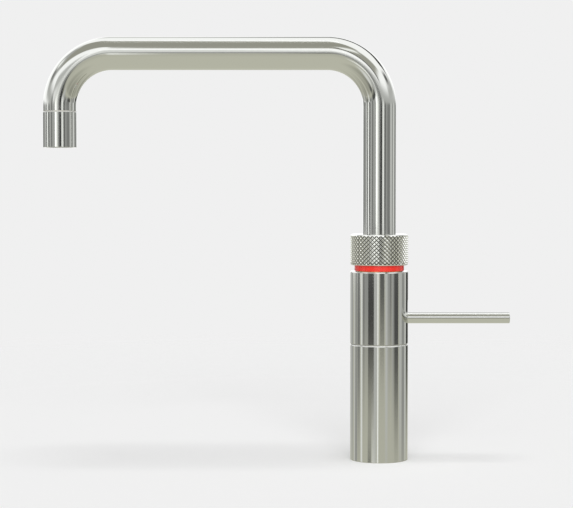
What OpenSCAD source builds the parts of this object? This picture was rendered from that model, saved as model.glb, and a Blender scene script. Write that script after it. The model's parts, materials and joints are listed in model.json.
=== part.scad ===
// Boiling water tap for a kitchen sink, with a swivelling square spout.
// Millimetres, +Z up. The origin is the centre of the base's underside, on the column's axis.
// The spout points along -X at rest and the lever along +X.

/* [Column] */
// Outside diameter of the column
body_d = 42; // [41:0.5:50]
// Wall of the base shell and of the turning sleeve
shell_wall = 2; // [1.6:0.1:2.4]
// Height of the fixed base shell
base_h = 84.1; // [76:0.1:110]
// Visible seam between the base shell and the turning sleeve
seam_gap = 0.8; // [0.7:0.1:1.5]
// Height of the turning sleeve
sleeve_h = 52.7; // [50:0.1:70]
// Chamfer on the column's outer edges
edge_chamfer = 0.4; // [0.2:0.05:0.8]

/* [Lever] */
// Diameter of the lever rod
lever_d = 8; // [6:0.5:9]
// Height of the lever's axis above the sleeve's lower edge
lever_rise = 18.6; // [17:0.1:22]
// Distance of the lever's tip from the column's axis
lever_reach = 95; // [50:1:140]
// Angle that the lever lifts for full flow
lever_lift = 25; // [15:1:28]
// Angle that the sleeve turns each way for temperature
mix_turn = 45; // [30:1:48]

/* [Knurled ring] */
// Height of the knurled ring
ring_h = 22.6; // [20:0.1:30]
// Gap between the sleeve's top and the ring, where the red ring shows
ring_gap = 4.4; // [4.2:0.1:8]
// How far the knurl's points stand out past the column's side
ring_proud = 0; // [0:0.1:2]
// Travel of the ring when it is pushed down
push_travel = 3; // [1.5:0.1:3.2]
// Diamonds around the ring
knurl_count = 42; // [24:1:56]
// Rows of diamonds up the ring
knurl_rows = 7; // [4:1:9]
// Depth of the knurl's grooves
knurl_depth = 0.75; // [0.4:0.05:1]
// Height of the smooth rim above and below the knurl
rim_h = 1.15; // [0.9:0.05:2]
// Thickness of the ring's top wall
ring_top_wall = 3; // [2:0.1:4]

/* [Red ring] */
// How far the red ring is set back from the column's side
indicator_step = 3; // [2.8:0.1:3.6]
// Wall of the red ring
indicator_wall = 1.6; // [1.2:0.1:1.8]

/* [Spout] */
// Outside diameter of the spout's tube
tube_d = 24; // [22:0.5:25]
// Wall of the spout's tube
tube_wall = 1.2; // [0.8:0.1:1.6]
// Distance between the column's axis and the outlet's axis
spout_reach = 232; // [140:1:300]
// Height of the horizontal arm's axis above the worktop
arm_height = 295.5; // [240:0.5:400]
// Radius of both bends, on the tube's centreline
bend_r = 33.5; // [24:0.5:40]
// Straight length of the spout's tube between its last bend and the outlet
drop_straight = 8.3; // [6:0.1:60]
// Wall of the neck that the spout swivels in
neck_wall = 1.84; // [1.6:0.02:2.1]

/* [Outlet] */
// Outside diameter of the outlet's sleeve
outlet_d = 24.4; // [24:0.1:27]
// Height of the outlet's sleeve
outlet_h = 25.8; // [22:0.1:30]
// Diameter of each hole in the flow straightener
jet_d = 1.4; // [0.8:0.1:1.6]
// Diameter of the tube that carries boiling water through the spout
boiling_d = 6; // [5:0.5:7]

/* [Inlets] */
// Bore of the threaded socket for the fixing shank
shank_bore_d = 26.5; // [25:0.5:27.5]
// Depth of the shank's socket
shank_depth = 12; // [8:0.5:14]
// Bore of each threaded hose port
port_bore_d = 9; // [7:0.5:9.5]
// Depth of each hose port
port_depth = 10; // [6:0.5:11]
// Distance of the hose ports from the column's axis
port_pitch_r = 7.6; // [7.4:0.1:8]
// Outside diameter of the riser tubes
riser_d = 8; // [6:0.5:8]

/* [Mixer cartridge] */
// Diameter of the mixer cartridge
cartridge_d = 24.9; // [23:0.1:25.4]
// Height of the mixer cartridge
cartridge_h = 32.5; // [26:0.5:36]

/* [Hot valve] */
// Thickness of each ceramic disc
disc_t = 2; // [1.5:0.1:2.5]
// Diameter of the post in the middle of the hot valve
post_d = 18; // [16:0.5:19]
// Angle that the knurled ring turns to open the hot valve
hot_turn = 90; // [60:5:90]
// Wire of the return spring
spring_wire = 0.8; // [0.5:0.05:0.9]
// Turns of the return spring
spring_turns = 3.5; // [2.5:0.5:4]

/* [Fits] */
// Radial clearance where one piece turns or slides on another
run_gap = 0.06; // [0.03:0.01:0.09]
// Radial clearance where one piece is fixed in another
seat_gap = 0.05; // [0.02:0.01:0.08]
// Gap between pieces that move past each other
free_gap = 0.3; // [0.25:0.05:0.4]

/* [Hidden] */
$fn = 96;

STEEL = [0.76, 0.76, 0.74];
BRASS = [0.80, 0.66, 0.36];
COPPER = [0.78, 0.48, 0.34];
RUBBER = [0.10, 0.10, 0.11];
ACETAL = [0.88, 0.88, 0.85];
DARK_PLASTIC = [0.22, 0.23, 0.25];
CERAMIC = [0.93, 0.92, 0.88];
RED = [0.85, 0.20, 0.17];

// How far a cutting tool reaches past the faces that it cuts
cut = 1;

// Gap between faces that bear on each other
film = 0.05;

// Easing of a hidden edge or end behind its neighbour
ease = 0.1;

// Gap round a piece that turns inside another and bears elsewhere
side_gap = 0.4;

// Column radii, from the outside in
body_r = body_d / 2;
shell_bore_r = body_r - shell_wall;
inside_r = shell_bore_r - seat_gap;
glide_wall = 0.94;
core_r = shell_bore_r - run_gap - glide_wall;
lantern_skirt = 1.5;
spigot_r = core_r - lantern_skirt - seat_gap;

// Heights of the column's outside
sleeve_z = base_h + seam_gap;
sleeve_top = sleeve_z + sleeve_h;
shell_lip_t = 2;
shell_lip_z = base_h - shell_lip_t;
sleeve_lip_t = 3.1;
sleeve_lip_z = sleeve_top - sleeve_lip_t;

// Lever and its pivot
lever_r = lever_d / 2;
lever_z = sleeve_z + lever_rise;
hub_wall = 1.6;
hub_r = lever_r + hub_wall;
hub_reach = 9;
rod_spigot_r = 2.4;
rod_spigot_x = 4.5;
rod_gap = 0.03;
pin_r = 1.5;
pin_gap = 0.02;
ear_gap = lever_r + free_gap;
ear_t = 3.2;
ear_half = 5;
tail_r = 1.8;
tail_ball_r = 2.2;
tail_drop = 8;
tail_half = tail_ball_r + side_gap;
tail_swing = 3.6;
grub_r = 1.5;
grub_x = 6.8;
grub_hex_r = 0.8;
grub_hex_depth = 0.8;

// Cartridge, its chamber and the valve body, from the lever's axis down
hub_clearance = 0.5;
head_top_z = lever_z - hub_r - hub_clearance;
head_t = 2.6;
head_z = head_top_z - head_t;
head_clearance = 0.8;
valve_top = head_z - head_clearance;
nut_h = 4.5;
nut_slot_w = 2;
nut_slot_l = 3;
nut_slot_depth = 1.5;
cartridge_top = valve_top - nut_h;
cartridge_z = cartridge_top - cartridge_h;
seal_t = 1;
chamber_z = cartridge_z - seal_t;
valve_floor = 7;
valve_z = chamber_z - valve_floor;
seal_inset = 0.5;
cartridge_r = cartridge_d / 2;
chamber_gap = 0.15;
chamber_r = cartridge_r + chamber_gap;
head_inset = 0.6;
head_r = chamber_r - head_inset;
head_stem_r = 7;
head_stem_l = 6;
stem_well = 6;
cartridge_port_depth = 8;

// Lantern: its window for the lever and the deck that carries the hot valve
room_r = chamber_r + side_gap;
window_gap = 0.6;
window_head = 0.5;
window_side = 1;
window_z = lever_z - lever_r - window_gap;
window_top = lever_z + core_r * tan(lever_lift) + lever_r / cos(lever_lift) + window_head;
window_half = mix_turn + asin((lever_r + window_side) / room_r);
window_lintel = 2.5;
deck_z = window_top + window_lintel;
deck_t = 3.5;
deck_top = deck_z + deck_t;

// Drilled water ways
way_r = 1.2;
way_pitch_r = (chamber_r + spigot_r) / 2;
boiling_way = 90;
mixed_way = 150;
boiling_out_way = 50;
cross_way_rise = 1.6;
cross_way_z = deck_z + cross_way_rise;
port_groove_depth = 1.6;
centre_way_r = 2;
mixed_post_r = (centre_way_r + post_d / 2) / 2;
boiling_link_rise = 4;
boiling_link_z = valve_z + boiling_link_rise;
mixed_link_drop = 1.3;
mixed_link_z = chamber_z - mixed_link_drop;

// Red ring, and the cup above the deck that carries it
indicator_r = body_r - indicator_step;
indicator_bore_r = indicator_r - indicator_wall;
cup_r = indicator_bore_r - seat_gap;
cup_wall = 1.35;
cup_bore_r = cup_r - cup_wall;
cup_in_ring = 1.5;
indicator_chamfer = 0.2;
indicator_z = sleeve_top + free_gap;
ring_z = sleeve_top + ring_gap;
ring_top = ring_z + ring_h;
cup_top = ring_z + cup_in_ring;

// Glide rings of the sleeve
glide_h = 6.2;
upper_glide_top = sleeve_lip_z - free_gap;
upper_glide_z = upper_glide_top - glide_h;
sleeve_lip_r = cup_r + side_gap;

// Slot in the sleeve for the lever
slot_gap = 0.4;
slot_side = 0.5;
slot_half = lever_r + slot_side;
slot_low = lever_z - lever_r - slot_gap;
slot_high = lever_z + body_r * tan(lever_lift) + lever_r / cos(lever_lift) + slot_gap;

// Spout's stem and the fixed neck around it
tube_r = tube_d / 2;
tube_bore_r = tube_r - tube_wall;
stem_spigot_r = tube_bore_r - seat_gap;
stem_step = 0.35;
stem_r = stem_spigot_r - stem_step;
stem_wall = 2.4;
stem_bore_r = stem_r - stem_wall;
neck_bore_r = stem_r + run_gap;
neck_r = neck_bore_r + neck_wall;

// Hot valve's discs and drive, from the deck up
post_r = post_d / 2;
disc_r = cup_bore_r - free_gap;
disc_bore_r = post_r + free_gap;
disc_mid_r = (post_r + cup_bore_r) / 2;
disc_port_r = 1.1;
disc_groove_depth = 1;
disc_groove_lead = 8;
moving_disc_z = deck_top + disc_t + film;
moving_disc_top = moving_disc_z + disc_t;
post_top = moving_disc_top + free_gap;
drive_z = moving_disc_top + film;
drive_r = cup_bore_r - free_gap;
drive_bore_r = neck_r + run_gap;
notch_depth = 1.5;
notch_w = 3;
key_count = 3;
key_w = 3;
key_h = 3.6;
key_depth = 1.2;
key_gap = 0.2;
key_r = drive_r + key_depth;
liner_clearance = 0.5;
liner_z = cup_top + push_travel + liner_clearance;
liner_lip = 1.2;
key_z = liner_z + liner_lip + ease;
drive_top = key_z + key_h;
liner_bore_r = drive_r + key_gap;

// Neck's height and its rings
neck_floor_t = 2.7;
neck_floor_top = post_top + neck_floor_t;
circlip_t = 1;
circlip_lip = 0.5;
circlip_depth = 0.4;
circlip_z = drive_top + free_gap;
circlip_land = 2.4;
neck_top = circlip_z + circlip_t + circlip_land;
spout_glide_h = 1.1;
stem_flange_z = neck_top + spout_glide_h + free_gap;
stem_flange_t = 1.2;
tube_z = stem_flange_z + stem_flange_t;
stem_z = neck_floor_top + free_gap;
stem_spigot_h = 12;
snap_t = 1.4;
snap_rise = 12;
snap_z = neck_floor_top + snap_rise;
snap_depth = 0.6;
snap_root = 0.9;
snap_play = 0.2;
o_ring_r = 0.9;
o_ring_below = 6;
o_ring_above = 7;
o_ring_zs = [snap_z - o_ring_below, snap_z + o_ring_above];
o_ring_squeeze = 0.02;

// Countersunk screws that hold the neck down
neck_screw_angles = [90, 210, 330];
neck_screw_r = 6.6;
neck_screw_shank = 1.25;
neck_screw_head = 2.3;
neck_screw_hex_r = 0.9;
neck_screw_hex_depth = 1;
neck_screw_end = deck_top + 0.5;

// Knurled ring
ring_r = body_r + ring_proud;
knurl_root_r = ring_r - knurl_depth;
knurl_backing = 0.15;
ring_core_r = knurl_root_r - knurl_backing;
knurl_lead = 0.15;
knurl_tuck = 0.4;
knurl_band_wall = 0.6;
rim_step = 0.1;
rim_r = ring_r - rim_step;
rim_round = 0.9;
skirt_bore_r = indicator_r + side_gap;
ring_bore_r = tube_r + side_gap;
ring_roof_z = ring_top - ring_top_wall;
knurl_z = ring_z + rim_h;
knurl_top = ring_top - rim_h;

// Return spring, seated on the drive sleeve inside the liner
spring_z = drive_top;
spring_top = ring_roof_z - free_gap;
spring_mean_r = (neck_r + circlip_lip + liner_bore_r) / 2;
spring_dead_turns = 0.4;
spring_steps = 14;
spring_sides = 8;

// Spout's arm and outlet
bend_start_z = arm_height - bend_r;
outlet_seam = 0.5;
outlet_chamfer = 0.3;
tube_end_z = bend_start_z - drop_straight;
outlet_top = tube_end_z - outlet_seam;
outlet_z = outlet_top - outlet_h;
adapter_step = 0.2;
adapter_r = tube_bore_r + adapter_step;
adapter_wall = 2.5;
adapter_bore_r = adapter_r - adapter_wall;
adapter_spigot_h = min(7, drop_straight - 1);
outlet_bore_r = adapter_r + seat_gap;
outlet_lip = 1.2;
outlet_lip_depth = 1.05;
outlet_lip_r = outlet_bore_r - outlet_lip_depth;
cage_z = outlet_z + outlet_lip + film;
cage_h = 11.3;
cage_wall = 1.1;
cage_lip = 0.7;
cage_floor_t = 0.6;
cage_r = outlet_bore_r - ease;
cage_bore_r = cage_r - cage_wall;
aerator_seal_t = 1.8;
aerator_seal_lip = 0.5;
adapter_z = cage_z + cage_h + aerator_seal_t + ease;
straightener_z = cage_z + cage_floor_t;
straightener_t = 3;
jet_counts = [14, 22];
jet_inset = 1.8;
boiling_r = boiling_d / 2;
boiling_wall = 0.8;
nozzle_wall = 1;
nozzle_r = boiling_r + nozzle_wall;
nozzle_seat = 1.1;
nozzle_bore_r = boiling_r - nozzle_seat;
nozzle_recess = 0.7;
nozzle_z = outlet_z + nozzle_recess;
nozzle_h = 15;
nozzle_top = nozzle_z + nozzle_h;
nozzle_collar = 1;
nozzle_collar_t = 1.5;
nozzle_collar_top = straightener_z + straightener_t + nozzle_collar_t;
boiling_rise = 8;
boiling_end_z = nozzle_z + boiling_rise;

// Manifold, risers and clamping screws
manifold_h = 30;
socket_depth = 6;
riser_r = riser_d / 2;
riser_wall = 1;
valve_socket = 4;
tap_thread = 4;
tap_end = 0.2;
cold_angle = 330;
hot_angle = 210;
boiling_angle = 90;
screw_angles = [30, 150, 270];
screw_pitch_r = 11.3;
screw_r = 2;
screw_gap = 0.15;
screw_head_r = 3.2;
screw_head_h = 3;
screw_head_gap = 0.2;
screw_hex_r = 1.6;
screw_hex_depth = 1.8;
gasket_inset = 1.5;
gasket_r = inside_r - gasket_inset;
gasket_wall = 2.8;
gasket_t = 1.5;

// Helpers

// Round bar along Z
module bar(r, z0, z1) {
    translate([0, 0, z0]) cylinder(r = r, h = z1 - z0);
}

// Straight tube along Z
module pipe(r_out, r_in, z0, z1) {
    difference() {
        bar(r_out, z0, z1);
        bar(r_in, z0 - cut, z1 + cut);
    }
}

// Hexagonal pocket along Z
module hex_pocket(r, z0, z1) {
    translate([0, 0, z0]) cylinder(r = r, h = z1 - z0, $fn = 6);
}

// Places children at a radius and an angle about the column's axis
module at_polar(r, angle) {
    rotate(angle) translate([r, 0, 0]) children();
}

// Repeats children at even angles about the column's axis
module around(count, first = 0) {
    for (i = [0 : count - 1]) rotate(first + i * 360 / count) children();
}

// Round bar along the direction of an angle, between two radii
module radial_bar(r, angle, r0, r1, z) {
    rotate(angle) translate([r0, 0, z]) rotate([0, 90, 0]) cylinder(r = r, h = r1 - r0);
}

// Round bar along Y, centred on the XZ plane
module cross_bar(r, half, z) {
    translate([0, half, z]) rotate([90, 0, 0]) cylinder(r = r, h = 2 * half);
}

// Tube along Z with chamfered outer edges
module chamfered_pipe(r_out, r_in, z0, z1, c) {
    rotate_extrude()
        polygon([
            [r_in, z0], [r_out - c, z0], [r_out, z0 + c],
            [r_out, z1 - c], [r_out - c, z1], [r_in, z1]
        ]);
}

// Hollow round section that follows the spout from a start height up, over and down to an end height
module spout_run(r_out, r_in, z_start, z_end) {
    pipe(r_out, r_in, z_start, bend_start_z);
    translate([-bend_r, 0, bend_start_z]) bend(r_out, r_in);
    translate([-bend_r, 0, arm_height])
        rotate([0, -90, 0]) pipe(r_out, r_in, 0, spout_reach - 2 * bend_r);
    translate([-spout_reach + bend_r, 0, bend_start_z]) mirror([1, 0, 0]) bend(r_out, r_in);
    translate([-spout_reach, 0, 0]) pipe(r_out, r_in, z_end, bend_start_z);
}

// Quarter bend from +X round to +Z about the Y axis
module bend(r_out, r_in) {
    rotate([90, 0, 0]) rotate_extrude(angle = 90) translate([bend_r, 0]) difference() {
        circle(r = r_out);
        circle(r = r_in);
    }
}

// Fixed body

module base_shell() {
    color(STEEL) difference() {
        chamfered_pipe(body_r, spigot_r + seat_gap, 0, base_h, edge_chamfer);
        bar(shell_bore_r, -cut, shell_lip_z);
    }
}

module base_gasket() {
    color(RUBBER) pipe(gasket_r, gasket_r - gasket_wall, 0, gasket_t);
}

module inlet_manifold() {
    color(BRASS) difference() {
        bar(inside_r, 0, manifold_h);
        bar(shank_bore_d / 2, -cut, shank_depth);
        pipe(gasket_r + ease, gasket_r - gasket_wall - ease, -cut, gasket_t);
        for (angle = [cold_angle, hot_angle, boiling_angle]) at_polar(port_pitch_r, angle) {
            bar(port_bore_d / 2, shank_depth - cut, shank_depth + port_depth);
            bar(riser_r - riser_wall, shank_depth, manifold_h);
            bar(riser_r + seat_gap, manifold_h - socket_depth, manifold_h + cut);
        }
        for (angle = screw_angles) at_polar(screw_pitch_r, angle) {
            bar(screw_head_r + screw_head_gap, shank_depth - cut, shank_depth + screw_head_h);
            bar(screw_r + screw_gap, shank_depth, manifold_h + cut);
        }
    }
}

module riser(angle) {
    at_polar(port_pitch_r, angle)
        pipe(riser_r, riser_r - riser_wall, manifold_h - socket_depth, valve_z + valve_socket);
}

module cold_riser() {
    color(COPPER) riser(cold_angle);
}

module hot_riser() {
    color(COPPER) riser(hot_angle);
}

module boiling_riser() {
    color(COPPER) riser(boiling_angle);
}

module body_screws() {
    color(STEEL) for (angle = screw_angles) at_polar(screw_pitch_r, angle) difference() {
        union() {
            bar(screw_head_r, shank_depth, shank_depth + screw_head_h);
            bar(screw_r, shank_depth + screw_head_h, valve_z + tap_thread);
        }
        hex_pocket(screw_hex_r, shank_depth - cut, shank_depth + screw_hex_depth);
    }
}

module valve_body() {
    color(BRASS) difference() {
        union() {
            bar(inside_r, valve_z, shell_lip_z);
            bar(spigot_r, shell_lip_z, valve_top);
        }
        bar(chamber_r, chamber_z, valve_top + cut);
        for (angle = [cold_angle, hot_angle, boiling_angle]) at_polar(port_pitch_r, angle)
            bar(riser_r + seat_gap, valve_z - cut, valve_z + valve_socket);
        for (angle = [cold_angle, hot_angle]) at_polar(port_pitch_r, angle)
            bar(riser_r - riser_wall, valve_z, chamber_z + cut);
        for (angle = screw_angles) at_polar(screw_pitch_r, angle)
            bar(screw_r, valve_z - cut, valve_z + tap_thread + tap_end);
        radial_bar(way_r, boiling_way, port_pitch_r, way_pitch_r, boiling_link_z);
        at_polar(way_pitch_r, boiling_way) bar(way_r, boiling_link_z, valve_top + cut);
        radial_bar(way_r, mixed_way, port_pitch_r, way_pitch_r, mixed_link_z);
        at_polar(port_pitch_r, mixed_way) bar(way_r, mixed_link_z, chamber_z + cut);
        at_polar(way_pitch_r, mixed_way) bar(way_r, mixed_link_z, valve_top + cut);
    }
}

module cartridge_seal() {
    color(RUBBER) difference() {
        bar(cartridge_r - seal_inset, chamber_z, cartridge_z);
        for (angle = [cold_angle, hot_angle]) at_polar(port_pitch_r, angle)
            bar(riser_r - riser_wall, chamber_z - cut, cartridge_z + cut);
        at_polar(port_pitch_r, mixed_way) bar(way_r, chamber_z - cut, cartridge_z + cut);
    }
}

module cartridge_housing() {
    color(DARK_PLASTIC) difference() {
        bar(cartridge_r, cartridge_z, cartridge_top);
        bar(head_stem_r + run_gap, cartridge_top - head_stem_l - stem_well, cartridge_top + cut);
        for (angle = [cold_angle, hot_angle]) at_polar(port_pitch_r, angle)
            bar(riser_r - riser_wall, cartridge_z - cut, cartridge_z + cartridge_port_depth);
        at_polar(port_pitch_r, mixed_way) bar(way_r, cartridge_z - cut, cartridge_z + cartridge_port_depth);
    }
}

module cartridge_nut() {
    color(BRASS) difference() {
        bar(chamber_r - seat_gap, cartridge_top, valve_top);
        bar(head_stem_r + free_gap, cartridge_top - cut, valve_top + cut);
        around(6) translate([chamber_r - nut_slot_l + cut, -nut_slot_w / 2, valve_top - nut_slot_depth])
            cube([nut_slot_l, nut_slot_w, nut_slot_depth + cut]);
    }
}

module lantern() {
    color(BRASS) difference() {
        union() {
            bar(core_r, base_h, upper_glide_z);
            bar(cup_r, base_h, cup_top);
        }
        bar(spigot_r + seat_gap, base_h - cut, valve_top);
        bar(room_r, valve_top - cut, deck_z);
        pipe(cup_bore_r, post_r, deck_top, cup_top + cut);
        bar(post_r + cut, post_top, cup_top + cut);
        rotate(-window_half) rotate_extrude(angle = 2 * window_half)
            translate([room_r - cut, window_z]) square([body_r - room_r, window_top - window_z]);
        at_polar(way_pitch_r, boiling_way) bar(way_r, valve_top - cut, deck_top - port_groove_depth / 2);
        rotate(boiling_way)
            translate([disc_mid_r - disc_port_r, -disc_port_r, deck_top - port_groove_depth])
            cube([way_pitch_r - disc_mid_r + disc_port_r, 2 * disc_port_r, port_groove_depth + cut]);
        at_polar(way_pitch_r, mixed_way) bar(way_r, valve_top - cut, cross_way_z);
        radial_bar(disc_port_r, mixed_way, mixed_post_r, way_pitch_r, cross_way_z);
        at_polar(mixed_post_r, mixed_way) bar(way_r, cross_way_z, post_top + cut);
        at_polar(disc_mid_r, boiling_out_way) bar(disc_port_r, cross_way_z, deck_top + cut);
        radial_bar(disc_port_r, boiling_out_way, 0, disc_mid_r, cross_way_z);
        bar(centre_way_r, cross_way_z, post_top + cut);
        for (angle = neck_screw_angles) at_polar(neck_screw_r, angle)
            bar(neck_screw_shank, neck_screw_end - tap_end, post_top + cut);
    }
}

module base_glide_ring() {
    color(ACETAL) {
        difference() {
            union() {
                bar(body_r - edge_chamfer, base_h, sleeve_z - free_gap);
                bar(core_r + glide_wall, base_h, base_h + glide_h);
            }
            bar(core_r + seat_gap, base_h - cut, base_h + glide_h + cut);
        }
    }
}

module upper_glide_ring() {
    color(ACETAL) pipe(core_r + glide_wall, cup_r + seat_gap, upper_glide_z, upper_glide_top);
}

module indicator_ring() {
    color(RED) chamfered_pipe(indicator_r, indicator_bore_r, indicator_z, cup_top, indicator_chamfer);
}

module fixed_disc() {
    color(CERAMIC) difference() {
        pipe(disc_r, disc_bore_r, deck_top, deck_top + disc_t);
        for (angle = [boiling_way, boiling_out_way]) at_polar(disc_mid_r, angle)
            bar(disc_port_r, deck_top - cut, deck_top + disc_t + cut);
    }
}

// Cone of a countersunk head, with its rim at a height
module countersink(r_shank, r_head, z_top) {
    translate([0, 0, z_top - (r_head - r_shank)]) cylinder(r1 = r_shank, r2 = r_head, h = r_head - r_shank);
}

module neck_tube() {
    color(BRASS) difference() {
        bar(neck_r, post_top, neck_top);
        bar(neck_bore_r, neck_floor_top, neck_top + cut);
        bar(boiling_r + run_gap, post_top - cut, neck_floor_top + cut);
        at_polar(mixed_post_r, mixed_way) bar(way_r, post_top - cut, neck_floor_top + cut);
        for (angle = neck_screw_angles) at_polar(neck_screw_r, angle) {
            bar(neck_screw_shank + ease, post_top - cut, neck_floor_top + cut);
            countersink(neck_screw_shank + ease, neck_screw_head + ease, neck_floor_top + ease / 10);
        }
        bar(neck_bore_r + snap_depth, snap_z - snap_play, snap_z + snap_t + snap_play);
        pipe(neck_r + cut, neck_r - circlip_depth, circlip_z - film, circlip_z + circlip_t + film);
    }
}

module neck_screws() {
    color(STEEL) for (angle = neck_screw_angles) at_polar(neck_screw_r, angle) difference() {
        union() {
            bar(neck_screw_shank, neck_screw_end, neck_floor_top - (neck_screw_head - neck_screw_shank));
            countersink(neck_screw_shank, neck_screw_head, neck_floor_top);
        }
        hex_pocket(neck_screw_hex_r, neck_floor_top - neck_screw_hex_depth, neck_floor_top + cut);
    }
}

module drive_circlip() {
    color(STEEL) rotate(20) rotate_extrude(angle = 320)
        translate([neck_r - circlip_depth + film, circlip_z])
        square([circlip_depth + circlip_lip - film, circlip_t]);
}

module spout_glide_ring() {
    color(ACETAL) pipe(neck_r - ease, neck_bore_r + ease, neck_top, neck_top + spout_glide_h);
}

// Mixer body

module mixer_sleeve() {
    color(STEEL) difference() {
        chamfered_pipe(body_r, sleeve_lip_r, sleeve_z, sleeve_top, edge_chamfer);
        bar(shell_bore_r, sleeve_z - cut, sleeve_lip_z);
        translate([core_r, -slot_half, slot_low + slot_half])
            cube([body_r, 2 * slot_half, slot_high - slot_low - 2 * slot_half]);
        for (z = [slot_low + slot_half, slot_high - slot_half])
            radial_bar(slot_half, 0, core_r, body_r + cut, z);
    }
}

module cartridge_head() {
    tail_room_z = cartridge_top - head_stem_l - cut;
    color(DARK_PLASTIC) difference() {
        union() {
            bar(head_stem_r, cartridge_top - head_stem_l, head_z);
            bar(head_r, head_z, head_top_z);
            for (side = [-1, 1]) translate([0, side * (ear_gap + ear_t / 2), 0]) {
                translate([-ear_half, -ear_t / 2, head_z]) cube([2 * ear_half, ear_t, lever_z - head_z]);
                cross_bar(ear_half, ear_t / 2, lever_z);
            }
        }
        cross_bar(pin_r + pin_gap, head_r, lever_z);
        translate([-tail_half, -tail_half, tail_room_z])
            cube([2 * tail_half + tail_swing, 2 * tail_half, head_top_z + cut - tail_room_z]);
    }
}

module pivot_pin() {
    color(STEEL) cross_bar(pin_r, ear_gap + ear_t - ease, lever_z);
}

// Lever body

module lever_hub() {
    color(STEEL) difference() {
        union() {
            cross_bar(hub_r, lever_r, lever_z);
            radial_bar(lever_r, 0, 0, hub_reach, lever_z);
            bar(tail_r, lever_z - tail_drop, lever_z);
            translate([0, 0, lever_z - tail_drop]) sphere(r = tail_ball_r);
        }
        cross_bar(pin_r + run_gap, lever_r + cut, lever_z);
        radial_bar(rod_spigot_r + rod_gap, 0, rod_spigot_x, hub_reach + cut, lever_z);
        translate([grub_x, 0, 0]) bar(grub_r + rod_gap, lever_z - lever_r - cut, lever_z);
    }
}

module lever_rod() {
    color(STEEL) translate([0, 0, lever_z]) rotate([0, 90, 0]) rotate_extrude()
        polygon([
            [0, rod_spigot_x + ease], [rod_spigot_r, rod_spigot_x + ease], [rod_spigot_r, hub_reach],
            [lever_r, hub_reach], [lever_r, lever_reach - edge_chamfer],
            [lever_r - edge_chamfer, lever_reach], [0, lever_reach]
        ]);
}

module lever_grub_screw() {
    color(STEEL) translate([grub_x, 0, 0]) difference() {
        bar(grub_r, lever_z - lever_r + ease, lever_z - rod_spigot_r - rod_gap);
        hex_pocket(grub_hex_r, lever_z - lever_r - cut, lever_z - lever_r + ease + grub_hex_depth);
    }
}

// Hot valve

module drive_sleeve() {
    color(ACETAL) {
        pipe(drive_r, drive_bore_r, drive_z, drive_top);
        intersection() {
            pipe(key_r, drive_r - key_depth / 2, key_z, drive_top);
            around(key_count) translate([drive_r - key_depth, -key_w / 2, key_z])
                cube([3 * key_depth, key_w, key_h]);
        }
        intersection() {
            pipe(drive_r, disc_r - notch_depth + ease, moving_disc_z + key_gap, drive_z + cut);
            around(key_count) translate([disc_r - 2 * notch_depth, -notch_w / 2 + ease, moving_disc_z])
                cube([3 * notch_depth, notch_w - 2 * ease, disc_t + 2 * cut]);
        }
    }
}

module moving_disc() {
    groove_start = boiling_out_way - disc_groove_lead - hot_turn;
    groove_angle = boiling_way - boiling_out_way + 2 * disc_groove_lead;
    color(CERAMIC) difference() {
        pipe(disc_r, disc_bore_r, moving_disc_z, moving_disc_top);
        rotate(groove_start) rotate_extrude(angle = groove_angle)
            translate([disc_mid_r - disc_port_r, moving_disc_z - cut])
            square([2 * disc_port_r, disc_groove_depth + cut]);
        around(key_count) translate([disc_r - notch_depth, -notch_w / 2, moving_disc_z - cut])
            cube([3 * notch_depth, notch_w, disc_t + 2 * cut]);
    }
}

// Height of the spring's wire at a number of turns from its lower end, with flat ends
function spring_height(turn) =
    let (low = spring_z + spring_wire / 2 + film)
    let (rise = spring_top - spring_wire / 2 - low)
    let (active = spring_turns - 2 * spring_dead_turns)
    low + rise * min(1, max(0, (turn - spring_dead_turns) / active));

module return_spring() {
    rings = round(spring_turns * spring_steps);
    points = [
        for (i = [0 : rings], k = [0 : spring_sides - 1])
            let (turn = i / spring_steps)
            let (side = k * 360 / spring_sides)
            let (r = spring_mean_r + spring_wire / 2 * cos(side))
            [r * cos(turn * 360), r * sin(turn * 360), spring_height(turn) + spring_wire / 2 * sin(side)]
    ];
    skin = [
        for (i = [0 : rings - 1], k = [0 : spring_sides - 1])
            let (next = (k + 1) % spring_sides)
            let (here = i * spring_sides)
            let (ahead = here + spring_sides)
            for (face = [[here + k, ahead + next, here + next], [here + k, ahead + k, ahead + next]]) face
    ];
    first_cap = [for (k = [0 : spring_sides - 1]) k];
    last_cap = [for (k = [spring_sides - 1 : -1 : 0]) rings * spring_sides + k];
    color(STEEL) polyhedron(points, concat(skin, [first_cap, last_cap]));
}

// Hot ring

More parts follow.
